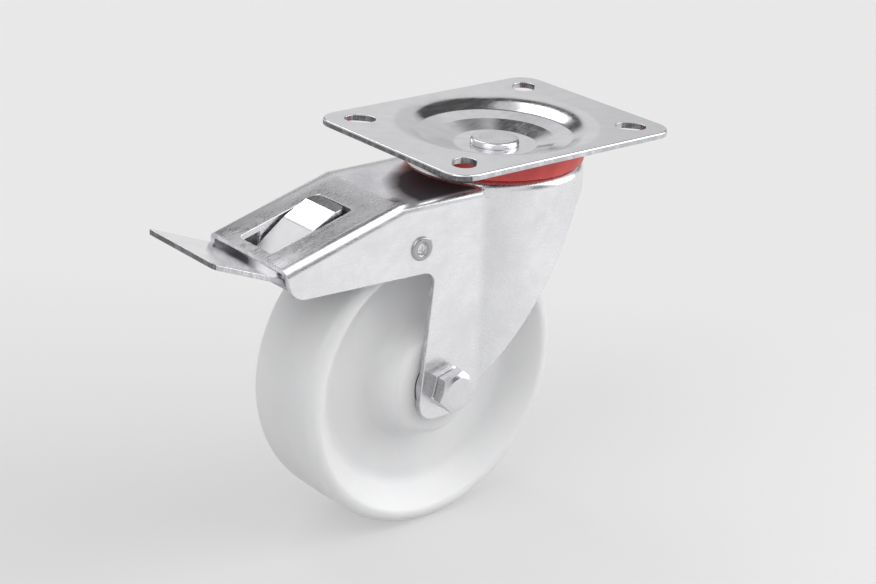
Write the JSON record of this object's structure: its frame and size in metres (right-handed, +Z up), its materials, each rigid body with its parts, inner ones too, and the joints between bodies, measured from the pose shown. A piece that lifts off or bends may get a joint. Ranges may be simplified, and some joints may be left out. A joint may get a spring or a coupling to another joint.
{
  "type": "braked swivel castor",
  "caption": "Plate-mounted swivel castor with a pressed steel fork, a white plastic wheel, a red dust seal and a foot pedal that brakes the wheel and locks the swivel.",
  "frame": {"origin": "middle of the mounting plate's top face, on the swivel axis", "axes": "+Z up out of the plate, +X the direction of travel with the brake pedal at -X, +Y across"},
  "size_m": [0.2485, 0.11, 0.19],
  "materials": {
    "zinc_sheet": "bright zinc plate",
    "bright_steel": "bright zinc plate",
    "dark_steel": "dull steel",
    "red_seal": "moulded",
    "white_nylon": "satin, milky",
    "grey_nylon": "moulded"
  },
  "bodies": {
    "mounting": {"top_plate": "zinc_sheet", "king_pin": "bright_steel", "dust_seal": "red_seal", "upper_balls": "bright_steel", "lower_balls": "bright_steel", "lower_race": "zinc_sheet", "lock_ring": "dark_steel"},
    "fork": {"fork": "zinc_sheet", "pivot_rivets": "bright_steel", "pedal_pin": "bright_steel", "axle_tube": "zinc_sheet", "hub_washers": "zinc_sheet", "axle_bolt": "bright_steel", "hex_collar": "bright_steel", "axle_nut": "bright_steel"},
    "wheel": {"wheel": "white_nylon", "bearing_cage": "grey_nylon", "bearing_rollers": "bright_steel"},
    "pedal": {"pedal": "zinc_sheet"},
    "brake_arm": {"brake_arm": "dark_steel", "brake_shoe": "grey_nylon", "shoe_rivets": "bright_steel"}
  },
  "joints": [
    {"name": "swivel", "type": "hinge", "parent": "mounting", "child": "fork", "pos_m": [0, 0, 0], "axis": [0, 0, 1], "continuous": true},
    {"name": "wheel_spin", "type": "hinge", "parent": "fork", "child": "wheel", "pos_m": [-0.05, 0, -0.115], "axis": [0, 1, 0], "continuous": true},
    {"name": "pedal_press", "type": "hinge", "parent": "fork", "child": "pedal", "pos_m": [-0.12199, 0, -0.042], "axis": [0, -1, 0], "range_deg": [0, 16]},
    {"name": "brake_turn", "type": "hinge", "parent": "fork", "child": "brake_arm", "pos_m": [-0.0684, 0, -0.0411], "axis": [0, -1, 0], "range_deg": [0, 3.8]}
  ],
  "couplings": [
    {"joint": "brake_turn", "follows": "pedal_press", "ratio": 0.2375}
  ]
}
